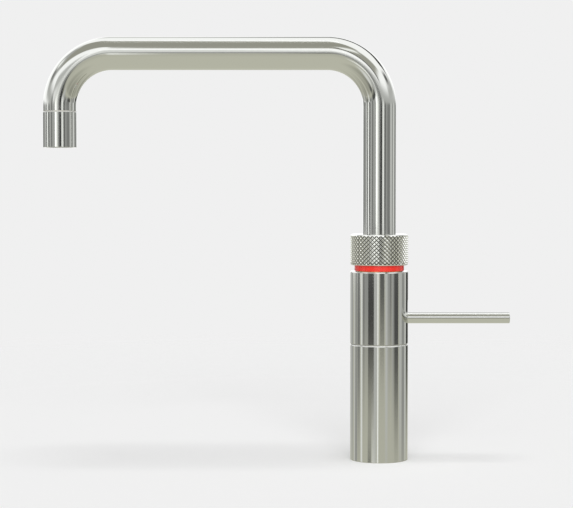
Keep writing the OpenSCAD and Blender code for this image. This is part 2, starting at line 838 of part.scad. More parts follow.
// Band of pointed diamonds, closed by a plain inner wall. Its two end rows are tucked under the rims.
module knurl_band() {
    columns = 2 * knurl_count;
    levels = 2 * knurl_rows;
    inner_r = ring_core_r - knurl_band_wall;
    row_h = (knurl_top - knurl_z - 2 * knurl_lead) / levels;
    function on_circle(r, i, z) = [r * cos(i * 360 / columns), r * sin(i * 360 / columns), z];
    function is_peak(level, i) = (level + i) % 2 == 0;
    diamonds = [
        for (level = [0 : levels], i = [0 : columns - 1])
            on_circle(is_peak(level, i) ? ring_r : knurl_root_r, i, knurl_z + knurl_lead + level * row_h)
    ];
    low_end = [for (i = [0 : columns - 1]) on_circle(knurl_root_r, i, knurl_z - knurl_tuck)];
    high_end = [for (i = [0 : columns - 1]) on_circle(knurl_root_r, i, knurl_top + knurl_tuck)];
    low_inner = [for (i = [0 : columns - 1]) on_circle(inner_r, i, knurl_z - knurl_tuck)];
    high_inner = [for (i = [0 : columns - 1]) on_circle(inner_r, i, knurl_top + knurl_tuck)];
    low_start = (levels + 1) * columns;
    high_start = low_start + columns;
    low_inner_start = high_start + columns;
    high_inner_start = low_inner_start + columns;
    function wrap(start, i) = start + i % columns;
    // Two triangles between two rings of points, split along the groove
    function cell(lower, upper, i, split_rising) =
        let (a = wrap(lower, i), b = wrap(lower, i + 1), c = wrap(upper, i + 1), d = wrap(upper, i))
        split_rising ? [[a, d, c], [a, c, b]] : [[a, d, b], [b, d, c]];
    diamond_faces = [
        for (level = [0 : levels - 1], i = [0 : columns - 1])
            for (face = cell(level * columns, (level + 1) * columns, i, !is_peak(level, i))) face
    ];
    end_faces = [
        for (i = [0 : columns - 1])
            for (face = concat(
                cell(low_start, 0, i, is_peak(0, i + 1)),
                cell(levels * columns, high_start, i, is_peak(levels, i)),
                cell(low_inner_start, low_start, i, true),
                cell(high_start, high_inner_start, i, true),
                cell(high_inner_start, low_inner_start, i, true))) face
    ];
    polyhedron(
        concat(diamonds, low_end, high_end, low_inner, high_inner),
        concat(diamond_faces, end_faces));
}

module knurled_ring() {
    color(STEEL) {
        difference() {
            union() {
                bar(ring_core_r, ring_z + rim_round, ring_top - rim_round);
                rim(ring_z + rim_round, knurl_z, ring_z);
                rim(ring_top - rim_round, knurl_top, ring_top);
            }
            bar(skirt_bore_r, ring_z - cut, ring_roof_z);
            bar(ring_bore_r, ring_z, ring_top + cut);
        }
        knurl_band();
    }
}

// Smooth rim: a rounded edge from its full radius at one height to the ring's end face
module rim(round_z, knurl_side_z, end_z) {
    low = min(knurl_side_z, end_z);
    high = max(knurl_side_z, end_z);
    intersection() {
        bar(rim_r, low, high);
        rotate_extrude() union() {
            translate([0, low]) square([rim_r - rim_round, high - low]);
            translate([rim_r - rim_round, round_z]) circle(r = rim_round);
            translate([0, min(round_z, knurl_side_z)]) square([rim_r, abs(knurl_side_z - round_z)]);
        }
    }
}

module ring_liner() {
    color(ACETAL) difference() {
        pipe(skirt_bore_r - seat_gap, liner_bore_r, liner_z, ring_roof_z - film);
        around(key_count) translate([liner_bore_r - cut, -key_w / 2 - key_gap, liner_z + liner_lip])
            cube([key_r - liner_bore_r + cut + key_gap, key_w + 2 * key_gap, ring_roof_z - liner_z]);
    }
}

// Spout

module spout_stem() {
    color(BRASS) difference() {
        union() {
            bar(stem_r, stem_z, stem_flange_z);
            bar(tube_r - ease, stem_flange_z, tube_z);
            bar(stem_spigot_r, tube_z, tube_z + stem_spigot_h);
        }
        bar(stem_bore_r, stem_z - cut, tube_z + stem_spigot_h + cut);
        for (z = o_ring_zs)
            pipe(stem_r + cut, stem_r - 2 * o_ring_r, z - o_ring_r - ease, z + o_ring_r + ease);
        pipe(stem_r + cut, stem_r - snap_root - ease, snap_z - ease, snap_z + snap_t + ease);
    }
}

module stem_o_rings() {
    color(RUBBER) for (z = o_ring_zs) translate([0, 0, z]) rotate_extrude()
        translate([stem_r - o_ring_r + o_ring_squeeze, 0]) circle(r = o_ring_r);
}

module spout_snap_ring() {
    color(ACETAL) rotate(15) rotate_extrude(angle = 330)
        translate([stem_r - snap_root, snap_z]) square([snap_root + snap_depth - ease, snap_t]);
}

module spout_tube() {
    color(STEEL) spout_run(tube_r, tube_bore_r, tube_z, tube_end_z);
}

module boiling_tube() {
    color(ACETAL) spout_run(boiling_r, boiling_r - boiling_wall, post_top + free_gap, boiling_end_z);
}

module outlet_adapter() {
    color(BRASS) translate([-spout_reach, 0, 0]) difference() {
        union() {
            bar(adapter_r, adapter_z, outlet_top);
            bar(tube_r - adapter_step, outlet_top, tube_end_z);
            bar(tube_bore_r - seat_gap, tube_end_z, tube_end_z + adapter_spigot_h);
        }
        bar(adapter_bore_r, adapter_z - cut, tube_end_z + adapter_spigot_h + cut);
    }
}

module aerator_seal() {
    color(RUBBER) translate([-spout_reach, 0, cage_z + cage_h])
        pipe(cage_r - ease, adapter_bore_r + aerator_seal_lip, 0, aerator_seal_t);
}

module aerator_cage() {
    color(DARK_PLASTIC) translate([-spout_reach, 0, 0]) difference() {
        bar(cage_r, cage_z, cage_z + cage_h);
        bar(cage_bore_r, straightener_z, cage_z + cage_h + cut);
        bar(cage_bore_r - cage_lip, cage_z - cut, straightener_z + cut);
    }
}

module flow_straightener() {
    jet_rings = [[jet_counts[0], nozzle_r + jet_inset], [jet_counts[1], cage_bore_r - jet_inset]];
    color(ACETAL) translate([-spout_reach, 0, 0]) difference() {
        pipe(cage_bore_r - film, nozzle_r + film, straightener_z, straightener_z + straightener_t);
        for (ring = jet_rings)
            around(ring[0]) translate([ring[1], 0, 0])
                bar(jet_d / 2, straightener_z - cut, straightener_z + straightener_t + cut);
    }
}

module boiling_nozzle() {
    color(STEEL) translate([-spout_reach, 0, 0]) difference() {
        union() {
            bar(nozzle_r, nozzle_z, nozzle_top);
            bar(nozzle_r + nozzle_collar, straightener_z + straightener_t, nozzle_collar_top);
        }
        bar(nozzle_bore_r, nozzle_z - cut, boiling_end_z + cut);
        bar(boiling_r + seat_gap, boiling_end_z - ease, nozzle_top + cut);
    }
}

module outlet_sleeve() {
    color(STEEL) translate([-spout_reach, 0, 0]) difference() {
        chamfered_pipe(outlet_d / 2, outlet_lip_r, outlet_z, outlet_top, outlet_chamfer);
        bar(outlet_bore_r, outlet_z + outlet_lip, outlet_top + cut);
    }
}

base_shell();
base_gasket();
inlet_manifold();
cold_riser();
hot_riser();
boiling_riser();
body_screws();
valve_body();
cartridge_seal();
cartridge_housing();
cartridge_nut();
lantern();
base_glide_ring();
upper_glide_ring();
indicator_ring();
fixed_disc();
neck_tube();
neck_screws();
drive_circlip();
spout_glide_ring();
mixer_sleeve();
cartridge_head();
pivot_pin();
lever_hub();
lever_rod();
lever_grub_screw();
drive_sleeve();
moving_disc();
return_spring();
knurled_ring();
ring_liner();
spout_stem();
stem_o_rings();
spout_snap_ring();
spout_tube();
boiling_tube();
outlet_adapter();
aerator_seal();
aerator_cage();
flow_straightener();
boiling_nozzle();
outlet_sleeve();
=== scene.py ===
"""Looks of the boiling water tap: fine skins for the visible steel, procedural materials and a plain studio.

Objects are in metres, and the tap's own sizes below in millimetres. The origin is the centre of the base's
underside, +Z up, spout along -X, lever along +X, front -Y.
"""
import json
import math

import bmesh
import bpy
import numpy as np
from mathutils import Matrix, Vector


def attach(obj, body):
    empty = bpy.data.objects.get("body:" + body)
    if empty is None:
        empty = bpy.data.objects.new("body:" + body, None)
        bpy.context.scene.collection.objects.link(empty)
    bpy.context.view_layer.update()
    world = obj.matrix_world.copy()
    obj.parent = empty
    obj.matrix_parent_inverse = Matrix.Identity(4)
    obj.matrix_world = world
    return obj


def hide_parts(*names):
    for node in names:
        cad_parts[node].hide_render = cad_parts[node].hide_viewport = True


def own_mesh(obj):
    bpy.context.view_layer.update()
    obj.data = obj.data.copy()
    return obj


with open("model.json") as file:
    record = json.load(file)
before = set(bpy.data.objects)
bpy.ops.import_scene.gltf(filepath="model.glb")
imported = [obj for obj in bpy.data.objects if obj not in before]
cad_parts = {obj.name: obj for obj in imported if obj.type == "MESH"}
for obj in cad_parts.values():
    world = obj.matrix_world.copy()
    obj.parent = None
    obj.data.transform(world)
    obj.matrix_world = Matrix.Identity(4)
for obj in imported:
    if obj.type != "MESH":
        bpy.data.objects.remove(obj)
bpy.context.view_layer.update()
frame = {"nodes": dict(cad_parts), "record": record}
nodes = frame["nodes"]

MM = 0.001
SMOOTH_ANGLE = math.radians(30)
MERGE_DISTANCE = 1e-8

# Column
BODY_R = 21.0
SHELL_BORE_R = 19.0
SHELL_TOP = 84.1
SHELL_LIP_R = 16.5
SHELL_LIP_Z = 82.1
SLEEVE_Z = 84.9
SLEEVE_TOP = 137.6
SLEEVE_LIP_R = 16.75
SLEEVE_LIP_Z = 134.5
COLUMN_EDGE = 0.4
TAPER_W = 0.17
TAPER_H = 0.8
TAPER_EDGE = 0.15
HIDDEN_EDGE = 0.1

# Slot for the lever in the sleeve's +X side, and how far its cutter passes the wall inwards and outwards
SLOT_HALF = 4.5
SLOT_LOW = 99.1
SLOT_HIGH = 118.1
SLOT_CUT_IN = 2.0
SLOT_CUT_OUT = 1.0
SLOT_STEPS = 24

# Lever rod, along +X
LEVER_Z = 103.5
LEVER_R = 4.0
LEVER_START = 9.0
LEVER_END = 95.0
LEVER_SPIGOT_R = 2.4
LEVER_SPIGOT_START = 4.6
LEVER_SEGMENTS = 96

# Red ring
RED_R = 18.0
RED_BORE_R = 16.4
RED_Z = 137.9
RED_TOP = 143.5
RED_EDGE = 0.2

# Knurled ring
RING_Z = 142.0
RING_TOP = 164.6
RING_ROOF_Z = 161.6
RING_SKIRT_R = 18.4
RING_BORE_R = 12.4
RIM_R = 20.9
RIM_ROUND = 1.8
BAND_W = 1.3
BAND_H = 0.3
RING_EDGE = 0.3

# Knurl: the diamonds' flat tops and feet are shares of half a diamond
KNURL_Z = 143.0
KNURL_TOP = 163.5
KNURL_LEAD = 0.1
KNURL_PEAK_R = 21.0
KNURL_ROOT_R = 20.4
KNURL_COUNT = 42
KNURL_ROWS = 7
LAND_SHARE = 0.36
FOOT_SHARE = 0.93

# Return spring under the knurled ring's roof
SPRING_R = 13.85
SPRING_WIRE_R = 0.4
SPRING_Z = 151.95
SPRING_TOP = 161.3
SPRING_TURNS = 3.5
SPRING_FLAT_TURNS = 0.4
SPRING_STEPS = 24
SPRING_SIDES = 12

# Spout's tube. Its bends are wider than the solid's, whose radius is 33.5.
TUBE_R = 12.0
TUBE_BORE_R = 10.8
TUBE_Z = 158.2
TUBE_MIDDLE_Z = 200.0
TUBE_END_Z = 253.7
TUBE_EDGE = 0.25
ARM_Z = 295.5
SPOUT_REACH = 232.0
SPOUT_SEGMENTS = 160
BEND_R = 38.0
BEND_START_Z = ARM_Z - BEND_R
BEND_STEPS = 72
BEND_EASE = 1.0

# Outlet, and the pale ring in the seam above it
OUTLET_R = 12.2
OUTLET_BORE_R = 11.05
OUTLET_LIP_R = 10.0
OUTLET_Z = 227.4
OUTLET_TOP = 253.2
OUTLET_LIP_Z = 228.6
OUTLET_EDGE = 0.3
SEAM_RING_R = 11.95
SEAM_RING_BORE_R = 11.82
SEAM_RING_GAP = 0.03


def add_object(name, data):
    item = bpy.data.objects.new(name, data)
    bpy.context.scene.collection.objects.link(item)
    return item


def rounded(outline, support=0.06, steps=5):
    """Points of a closed outline. Corners (x, y, radius) become arcs with a support point on each side."""
    points = []
    count = len(outline)
    for i, (x, y, radius) in enumerate(outline):
        here = Vector((x, y))
        if radius <= 0:
            points.append(here)
            continue
        before = (Vector(outline[i - 1][:2]) - here).normalized()
        after = (Vector(outline[(i + 1) % count][:2]) - here).normalized()
        half = before.angle(after) / 2
        reach = radius / math.tan(half)
        centre = here + (before + after).normalized() * (radius / math.sin(half))
        start = here + before * reach - centre
        end = here + after * reach - centre
        sweep = math.atan2(start.x * end.y - start.y * end.x, start.dot(end))
        points.append(here + before * (reach + support))
        for k in range(steps + 1):
            turned = Matrix.Rotation(sweep * k / steps, 2) @ start
            points.append(centre + turned)
        points.append(here + after * (reach + support))
    return points


def upright(x, y, z):
    return x, y, z


def make_piece(name, vertices, faces, grain=None):
    """Object from vertices in millimetres: faces turned outwards, sharp edges kept, a grain map if given."""
    mesh = bpy.data.meshes.new(name)
    mesh.from_pydata([[c * MM for c in v] for v in vertices], [], faces)
    if grain is not None:
        layer = mesh.uv_layers.new(name="grain")
        for loop, uv in zip(layer.data, grain):
            loop.uv = uv
    work = bmesh.new()
    work.from_mesh(mesh)
    bmesh.ops.remove_doubles(work, verts=work.verts, dist=MERGE_DISTANCE)
    loose = [edge for edge in work.edges if not edge.link_faces]
    bmesh.ops.delete(work, geom=loose, context="EDGES")
    bmesh.ops.recalc_face_normals(work, faces=work.faces)
    work.to_mesh(mesh)
    work.free()
    for polygon in mesh.polygons:
        polygon.use_smooth = True
    mesh.set_sharp_from_angle(angle=SMOOTH_ANGLE)
    return add_object(name, mesh)


def skin(rings, closed_rings):
    """Quads between rings of equal length. Each ring is closed on itself."""
    faces = []
    size = len(rings[0])
    pairs = len(rings) if closed_rings else len(rings) - 1
    for i in range(pairs):
        a = i * size
        b = (i + 1) % len(rings) * size
        for k in range(size):
            n = (k + 1) % size
            faces.append((a + k, a + n, b + n, b + k))
    return faces


def grain_cells(travel, segments, radius):
    """Grain map of a skin's quads, in millimetres: the way around, and the way along the outline."""
    around = 2 * math.pi * radius / segments
    cells = []
    for here, beyond in zip(travel, travel[1:]):
        for k in range(segments):
            cells += [(k * around, here), ((k + 1) * around, here),
                      ((k + 1) * around, beyond), (k * around, beyond)]
    return cells


def lathe(name, outline, centre=(0.0, 0.0), place=upright, segments=192):
    """Closed body of revolution from an outline of (radius, height, corner radius)."""
    profile = rounded(outline)
    rings = []
    for radius, height in profile:
        rings.append([
            (centre[0] + radius * math.cos(a), centre[1] + radius * math.sin(a), height)
            for a in (2 * math.pi * k / segments for k in range(segments))
        ])
    travel = [0.0]
    for first, second in zip(profile, profile[1:] + profile[:1]):
        travel.append(travel[-1] + (second - first).length)
    grain = grain_cells(travel, segments, max(p.x for p in profile))
    vertices = [place(*v) for ring in rings for v in ring]
    return make_piece(name, vertices, skin(rings, True), grain)


def spout_path():
    """Stations along the spout's centreline: distance, point, outward direction."""
    stations = []
    travel = 0.0

    def add(point, outward):
        nonlocal travel
        if stations:
            travel += (point - stations[-1][1]).length
        stations.append((travel, point, outward))

    right, up, left = Vector((1, 0, 0)), Vector((0, 0, 1)), Vector((-1, 0, 0))
    for z in (TUBE_Z, TUBE_Z + TUBE_EDGE, TUBE_Z + 2 * TUBE_EDGE, TUBE_MIDDLE_Z, BEND_START_Z - BEND_EASE):
        add(Vector((0, 0, z)), right)
    for start, first, second in ((-BEND_R, right, up), (BEND_R - SPOUT_REACH, up, left)):
        centre = Vector((start, 0, BEND_START_Z))
        for k in range(BEND_STEPS + 1):
            angle = math.pi / 2 * k / BEND_STEPS
            outward = first * math.cos(angle) + second * math.sin(angle)
            add(centre + outward * BEND_R, outward)
        if first == right:
            for x in (start - BEND_EASE, -SPOUT_REACH / 2, BEND_R - SPOUT_REACH + BEND_EASE):
                add(Vector((x, 0, ARM_Z)), up)
    for z in (BEND_START_Z - BEND_EASE, TUBE_END_Z + 2 * TUBE_EDGE, TUBE_END_Z + TUBE_EDGE, TUBE_END_Z):
        add(Vector((-SPOUT_REACH, 0, z)), left)
    return stations


def make_spout():
    """The bent tube with its bore, one closed skin."""
    stations = spout_path()
    last = len(stations) - 1
    rings = []
    travel = []

    def ring(distance, point, outward, radius):
        rings.append([
            tuple(point + outward * (radius * math.cos(a)) + Vector((0, radius * math.sin(a), 0)))
            for a in (2 * math.pi * k / SPOUT_SEGMENTS for k in range(SPOUT_SEGMENTS))
        ])
        travel.append(distance)

    for i, (distance, point, outward) in enumerate(stations):
        radius = TUBE_R - TUBE_EDGE if i in (0, last) else TUBE_R
        ring(distance, point, outward, radius)
    for distance, point, outward in reversed(stations):
        ring(distance, point, outward, TUBE_BORE_R)
    travel.append(travel[0])
    grain = grain_cells(travel, SPOUT_SEGMENTS, TUBE_R)
    return make_piece("spout_skin", [v for ring in rings for v in ring], skin(rings, True), grain)


def make_sleeve():
    """The turning sleeve, with the lever's slot cut through its +X side."""
    sleeve = lathe("sleeve_skin", [
        (SHELL_BORE_R, SLEEVE_Z, HIDDEN_EDGE),
        (BODY_R, SLEEVE_Z, COLUMN_EDGE),
        (BODY_R, SLEEVE_TOP - TAPER_H, TAPER_EDGE),
        (BODY_R - TAPER_W, SLEEVE_TOP, TAPER_EDGE),
        (SLEEVE_LIP_R, SLEEVE_TOP, HIDDEN_EDGE),
        (SLEEVE_LIP_R, SLEEVE_LIP_Z, HIDDEN_EDGE),
        (SHELL_BORE_R, SLEEVE_LIP_Z, HIDDEN_EDGE),
    ])
    rings = []
    for x in (SHELL_BORE_R - SLOT_CUT_IN, BODY_R + SLOT_CUT_OUT):
        ring = []
        for z, first in ((SLOT_HIGH - SLOT_HALF, 0.0), (SLOT_LOW + SLOT_HALF, math.pi)):
            for k in range(SLOT_STEPS + 1):
                angle = first + math.pi * k / SLOT_STEPS
                ring.append((x, SLOT_HALF * math.cos(angle), z + SLOT_HALF * math.sin(angle)))
        rings.append(ring)
    faces = skin(rings, False)
    size = len(rings[0])
    faces.append(tuple(range(size)))
    faces.append(tuple(range(size, 2 * size)))
    cutter = make_piece("slot_cutter", [v for r in rings for v in r], faces)
    cut = sleeve.modifiers.new("slot", "BOOLEAN")
    cut.operation = "DIFFERENCE"
    cut.solver = "EXACT"
    cut.object = cutter
    graph = bpy.context.evaluated_depsgraph_get()
    mesh = bpy.data.meshes.new_from_object(sleeve.evaluated_get(graph))
    sleeve.modifiers.clear()
    sleeve.data = mesh
    mesh.set_sharp_from_angle(angle=SMOOTH_ANGLE)
    bpy.data.objects.remove(cutter)
    return sleeve


def rim_drop(z):
    """How far the ring's outline has drawn in at a height, where its two rims are rounded."""
    past = max(0.0, z - (RING_TOP - RIM_ROUND), RING_Z + RIM_ROUND - z)
    return RIM_ROUND - math.sqrt(max(0.0, RIM_ROUND ** 2 - past ** 2))


def make_knurled_ring():
    """The ring: flat-topped diamonds, the grooves between them, two rounded rims and the inner faces."""
    columns = 2 * KNURL_COUNT
    levels = 2 * KNURL_ROWS
    row_h = (KNURL_TOP - KNURL_Z) / levels
    pitch = 2 * math.pi / columns
    vertices = []
    faces = []
    index = {}

    def point(radius, u, level):
        key = (radius, round(u % columns, 4), round(level, 4))
        if key not in index:
            index[key] = len(vertices)
            angle = u * pitch
            z = KNURL_Z + level * row_h
            drawn = radius - rim_drop(z)
            vertices.append((drawn * math.cos(angle), drawn * math.sin(angle), z))
        return index[key]

    def foot(column, level, du, dv):
        return point(KNURL_ROOT_R, column + du * FOOT_SHARE, level + dv * FOOT_SHARE)

    def land(column, level, du, dv):
        return point(KNURL_PEAK_R, column + du * LAND_SHARE, level + dv * LAND_SHARE)

    corners = [(1, 0), (0, 1), (-1, 0), (0, -1)]
    for level in range(levels + 1):
        inside = [c for c in corners if 0 <= level + c[1] <= levels]
        for column in range(level % 2, columns, 2):
            faces.append([land(column, level, *c) for c in inside])
            for first, second in zip(corners, corners[1:] + corners[:1]):
                if first in inside and second in inside:
                    faces.append([land(column, level, *first), land(column, level, *second),
                                  foot(column, level, *second), foot(column, level, *first)])
            for side in (1, -1):
                if level < levels:
                    faces.append([foot(column, level, side, 0), foot(column + side, level + 1, 0, -1),
                                  foot(column + side, level + 1, -side, 0), foot(column, level, 0, 1)])
        for column in range(1 - level % 2, columns, 2):
            faces.append([foot(column - du, level - dv, du, dv)
                          for du, dv in corners if 0 <= level - dv <= levels])

    shares = (-FOOT_SHARE, -LAND_SHARE, LAND_SHARE, FOOT_SHARE)
    marks = [column + share for column in range(0, columns, 2) for share in shares]
    radii = [KNURL_ROOT_R, KNURL_PEAK_R, KNURL_PEAK_R, KNURL_ROOT_R] * KNURL_COUNT
    rings = [[point(r, u, levels) for r, u in zip(radii, marks)]]
    band_r = RIM_R - rim_drop(KNURL_TOP + KNURL_LEAD)
    profile = rounded([
        (band_r, KNURL_TOP + KNURL_LEAD, 0),
        (band_r - TAPER_W, RING_TOP - BAND_H, TAPER_EDGE),
        (band_r - BAND_W, RING_TOP, TAPER_EDGE),
        (RING_BORE_R, RING_TOP, RING_EDGE),
        (RING_BORE_R, RING_ROOF_Z, 0),
        (RING_SKIRT_R, RING_ROOF_Z, 0),
        (RING_SKIRT_R, RING_Z, RING_EDGE),
        (band_r - BAND_W, RING_Z, TAPER_EDGE),
        (band_r - TAPER_W, RING_Z + BAND_H, TAPER_EDGE),
        (band_r, KNURL_Z - KNURL_LEAD, 0),
    ])
    for radius, z in profile:
        start = len(vertices)
        vertices += [(radius * math.cos(u * pitch), radius * math.sin(u * pitch), z) for u in marks]
        rings.append(list(range(start, start + len(marks))))
    rings.append([point(r, u, 0) for r, u in zip(radii, marks)])
    for first, second in zip(rings, rings[1:]):
        for k in range(len(marks)):
            n = (k + 1) % len(marks)
            faces.append((first[k], first[n], second[n], second[k]))
    return make_piece("knurled_skin", vertices, faces)


def make_spring():
    """The return spring's wire, one closed skin with flat end turns."""
    low = SPRING_Z + SPRING_WIRE_R
    rise = SPRING_TOP - SPRING_WIRE_R - low
    rings = []
    for i in range(round(SPRING_TURNS * SPRING_STEPS) + 1):
        turn = i / SPRING_STEPS
        share = (turn - SPRING_FLAT_TURNS) / (SPRING_TURNS - 2 * SPRING_FLAT_TURNS)
        z = low + rise * min(1.0, max(0.0, share))
        angle = 2 * math.pi * turn
        ring = []
        for k in range(SPRING_SIDES):
            side = 2 * math.pi * k / SPRING_SIDES
            radius = SPRING_R + SPRING_WIRE_R * math.cos(side)
            height = z + SPRING_WIRE_R * math.sin(side)
            ring.append((radius * math.cos(angle), radius * math.sin(angle), height))
        rings.append(ring)
    faces = skin(rings, False)
    last = (len(rings) - 1) * SPRING_SIDES
    faces += [tuple(range(SPRING_SIDES)), tuple(range(last, last + SPRING_SIDES))]
    return make_piece("spring_wire", [v for ring in rings for v in ring], faces)


# Materials

# A noise value is taken to lie between these two.
NOISE_LOW = 0.3
NOISE_HIGH = 0.7

# Broad clouds and fine specks, per metre, and depths of the bump in metres
METAL_CLOUDS = 60.0
PLASTIC_CLOUDS = 50.0
CLOUD_DETAIL = 2.0
SPECKS = 2500.0
METAL_BUMP_DEPTH = 0.0002
FINE_BUMP_DEPTH = 0.0001

# What varies the roughness: a metal's grain adds or takes this share of it, clouds and specks scale it
# between two shares, and the fine skin of a plastic moves it between two sums.
GRAIN_ROUGHNESS = 0.2
CLOUD_ROUGHNESS = (0.9, 1.2)
SPECK_ROUGHNESS = (0.8, 1.3)
SKIN_ROUGHNESS = (-0.03, 0.05)

# Knurled steel with painted shade: grooves are dark up to one radius and tops bright from the other, in
# millimetres.
# The smooth rims lie this share of the way from the grooves' painted shade to the tops' tone. Specks darken
# all of it a little.
KNURL_TONE = (0.95, 0.955, 0.925)
GROOVE_SHADE_TONE = (0.12, 0.12, 0.11)
KNURL_ROUGHNESS = 0.08
KNURL_BUMP = 0.03
GROOVE_DARK_R = KNURL_ROOT_R
GROOVE_LIGHT_R = 20.7
SMOOTH_SHARE = 0.75
SPECK_WEAR = 0.93

# The metals' grain is in lines per metre, or per millimetre where it lies on the grain map.
METALS = {
    "polished_steel": dict(tone=(0.655, 0.66, 0.635), roughness=0.05, grain=(4500.0, 25.0, 1.0),
                           contrast=0.05, bump=0.02, by_map=True),
    "plain_steel": dict(tone=(0.56, 0.56, 0.55), roughness=0.28, grain=(900.0, 900.0, 300.0),
                        contrast=0.08, bump=0.08),
    "brass": dict(tone=(0.78, 0.60, 0.30), roughness=0.24, grain=(500.0, 500.0, 1500.0),
                  contrast=0.08, bump=0.06),
    "copper": dict(tone=(0.78, 0.40, 0.26), roughness=0.22, grain=(900.0, 900.0, 120.0),
                   contrast=0.1, bump=0.05),
}

# The fine skin of plastics, rubber and ceramic is in specks per metre.
PLASTICS = {
    "rubber": dict(tone=(0.03, 0.03, 0.033), roughness=0.6, scale=1500.0, contrast=0.15, bump=0.2),
    "pale_plastic": dict(tone=(0.82, 0.82, 0.79), roughness=0.38, scale=900.0, contrast=0.03, bump=0.06),
    "dark_plastic": dict(tone=(0.07, 0.075, 0.08), roughness=0.42, scale=1100.0, contrast=0.1, bump=0.12),
    "ceramic": dict(tone=(0.86, 0.85, 0.80), roughness=0.15, scale=2000.0, contrast=0.02, bump=0.02),
    "red_plastic": dict(tone=(1.0, 0.045, 0.03), roughness=0.2, scale=400.0, contrast=0.03, bump=0.03),
}


def blank_material(name):
    material = bpy.data.materials.new(name)
    material.use_nodes = True
    material.node_tree.nodes.clear()
    return material, material.node_tree


def new_material(name):
    material, tree = blank_material(name)
    shader = tree.nodes.new("ShaderNodeBsdfPrincipled")
    output = tree.nodes.new("ShaderNodeOutputMaterial")
    tree.links.new(shader.outputs["BSDF"], output.inputs["Surface"])
    return material, tree, shader


def noise(tree, vector, scale, detail=3.0, roughness=0.5):
    texture = tree.nodes.new("ShaderNodeTexNoise")
    texture.inputs["Scale"].default_value = scale
    texture.inputs["Detail"].default_value = detail
    texture.inputs["Roughness"].default_value = roughness
    tree.links.new(vector, texture.inputs["Vector"])
    return texture.outputs["Fac"]


def stretched(tree, vector, scale):
    mapping = tree.nodes.new("ShaderNodeMapping")
    mapping.inputs["Scale"].default_value = scale
    tree.links.new(vector, mapping.inputs["Vector"])
    return mapping.outputs["Vector"]


def spread(tree, value, low, high, low_in=NOISE_LOW, high_in=NOISE_HIGH):
    """Maps a value, such as a noise, to a range."""
    node = tree.nodes.new("ShaderNodeMapRange")
    tree.links.new(value, node.inputs["Value"])
    for key, number in (("From Min", low_in), ("From Max", high_in), ("To Min", low), ("To Max", high)):
        node.inputs[key].default_value = number
    return node.outputs["Result"]


def tinted(tree, value, dark, light, low_in=NOISE_LOW, high_in=NOISE_HIGH):
    """Colour between two tones by a value, such as a noise."""
    ramp = tree.nodes.new("ShaderNodeValToRGB")
    for element, place, tone in zip(ramp.color_ramp.elements, (low_in, high_in), (dark, light)):
        element.position = place
        element.color = (*tone, 1)
    tree.links.new(value, ramp.inputs["Fac"])
    return ramp.outputs["Color"]


def varied(tree, value, tone, contrast):
    """Colour that a value, such as a noise, takes a little darker and lighter than a tone."""
    dark = tuple(c * (1 - contrast) for c in tone)
    light = tuple(min(1.0, c * (1 + contrast)) for c in tone)
    return tinted(tree, value, dark, light)


def add_bump(tree, shader, value, strength, depth):
    bump = tree.nodes.new("ShaderNodeBump")
    bump.inputs["Strength"].default_value = strength
    bump.inputs["Distance"].default_value = depth
    tree.links.new(value, bump.inputs["Height"])
    tree.links.new(bump.outputs["Normal"], shader.inputs["Normal"])


def join(tree, operation, first, second):
    """Result of a sum, product or comparison of two outputs, or of one output and a number."""
    node = tree.nodes.new("ShaderNodeMath")
    node.operation = operation
    for value, socket in zip((first, second), node.inputs):
        if isinstance(value, float):
            socket.default_value = value
        else:
            tree.links.new(value, socket)
    return node.outputs["Value"]


def length_of(tree, vector):
    node = tree.nodes.new("ShaderNodeVectorMath")
    node.operation = "LENGTH"
    tree.links.new(vector, node.inputs[0])
    return node.outputs["Value"]


def metal(name, tone, roughness, grain, contrast, bump, by_map=False):
    """Metal with a fine grain, which lies on the grain map or in the object's own directions."""
    material, tree, shader = new_material(name)
    if by_map:
        source = tree.nodes.new("ShaderNodeUVMap")
        source.uv_map = "grain"
        vector = source.outputs["UV"]
    else:
        vector = tree.nodes.new("ShaderNodeTexCoord").outputs["Object"]
    lines = noise(tree, stretched(tree, vector, grain), scale=1.0, detail=4.0, roughness=0.6)
    clouds = noise(tree, vector, METAL_CLOUDS, CLOUD_DETAIL)
    shader.inputs["Metallic"].default_value = 1.0
    tree.links.new(varied(tree, lines, tone, contrast), shader.inputs["Base Color"])
    fine = spread(tree, lines, -GRAIN_ROUGHNESS * roughness, GRAIN_ROUGHNESS * roughness)
    broad = spread(tree, clouds, *(share * roughness for share in CLOUD_ROUGHNESS))
    tree.links.new(join(tree, "ADD", fine, broad), shader.inputs["Roughness"])
    add_bump(tree, shader, lines, bump, METAL_BUMP_DEPTH)
    return material


